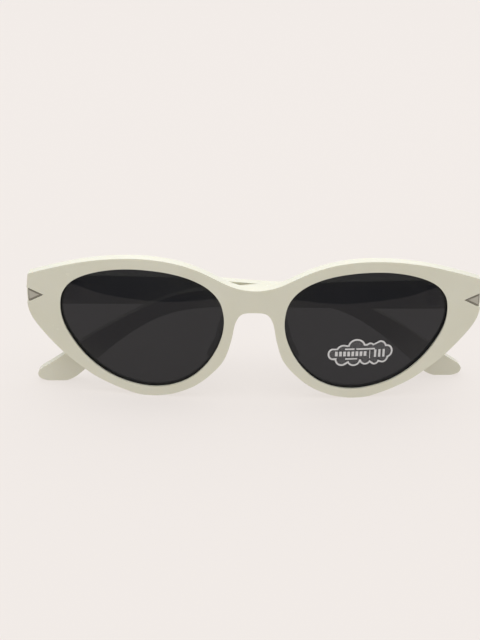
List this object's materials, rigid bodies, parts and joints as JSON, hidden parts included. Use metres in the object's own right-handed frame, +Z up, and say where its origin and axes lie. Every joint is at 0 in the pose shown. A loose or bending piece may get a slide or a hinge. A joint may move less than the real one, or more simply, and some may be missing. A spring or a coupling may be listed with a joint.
{
  "type": "cat eye sunglasses",
  "caption": "Cat eye sunglasses with an ivory front, smoke lenses, metal endpiece inlays and folding temples on screw hinges, folded and standing on the rims and temple tips.",
  "frame": {"origin": "on the surface that the glasses stand on, under the middle of the folded pair", "axes": "+X to the wearer's left, +Y from the front towards the folded temples, +Z up"},
  "size_m": [0.1434, 0.0252, 0.0451],
  "materials": {
    "ivory_plastic": "polished",
    "smoke_lens": "polished, tinted",
    "label_film": "clear film with a white outline",
    "inlay_metal": "satin",
    "hinge_steel": "satin"
  },
  "bodies": {
    "front": {"front_frame": "ivory_plastic", "lens_left": "smoke_lens", "lens_right": "smoke_lens", "lens_label": "label_film", "endpiece_inlay_left": "inlay_metal", "endpiece_inlay_right": "inlay_metal", "nose_pad_left": "ivory_plastic", "nose_pad_right": "ivory_plastic", "front_hinge_leaf_left": "hinge_steel", "front_hinge_leaf_right": "hinge_steel", "hinge_screw_left": "hinge_steel", "hinge_screw_right": "hinge_steel"},
    "left_temple": {"temple_left": "ivory_plastic", "temple_core_wire_left": "hinge_steel", "temple_hinge_leaf_left": "hinge_steel", "temple_rivet_upper_left": "hinge_steel", "temple_rivet_lower_left": "hinge_steel"},
    "right_temple": {"temple_right": "ivory_plastic", "temple_core_wire_right": "hinge_steel", "temple_hinge_leaf_right": "hinge_steel", "temple_rivet_upper_right": "hinge_steel", "temple_rivet_lower_right": "hinge_steel"}
  },
  "joints": [
    {"name": "left_temple_hinge", "type": "hinge", "parent": "front", "child": "left_temple", "pos_m": [0.0662, 0.0023, 0.0303], "axis": [0, 0, -1], "range_deg": [0, 91.7]},
    {"name": "right_temple_hinge", "type": "hinge", "parent": "front", "child": "right_temple", "pos_m": [-0.0662, 0.0023, 0.0303], "axis": [0, 0, 1], "range_deg": [0, 87.9]}
  ]
}
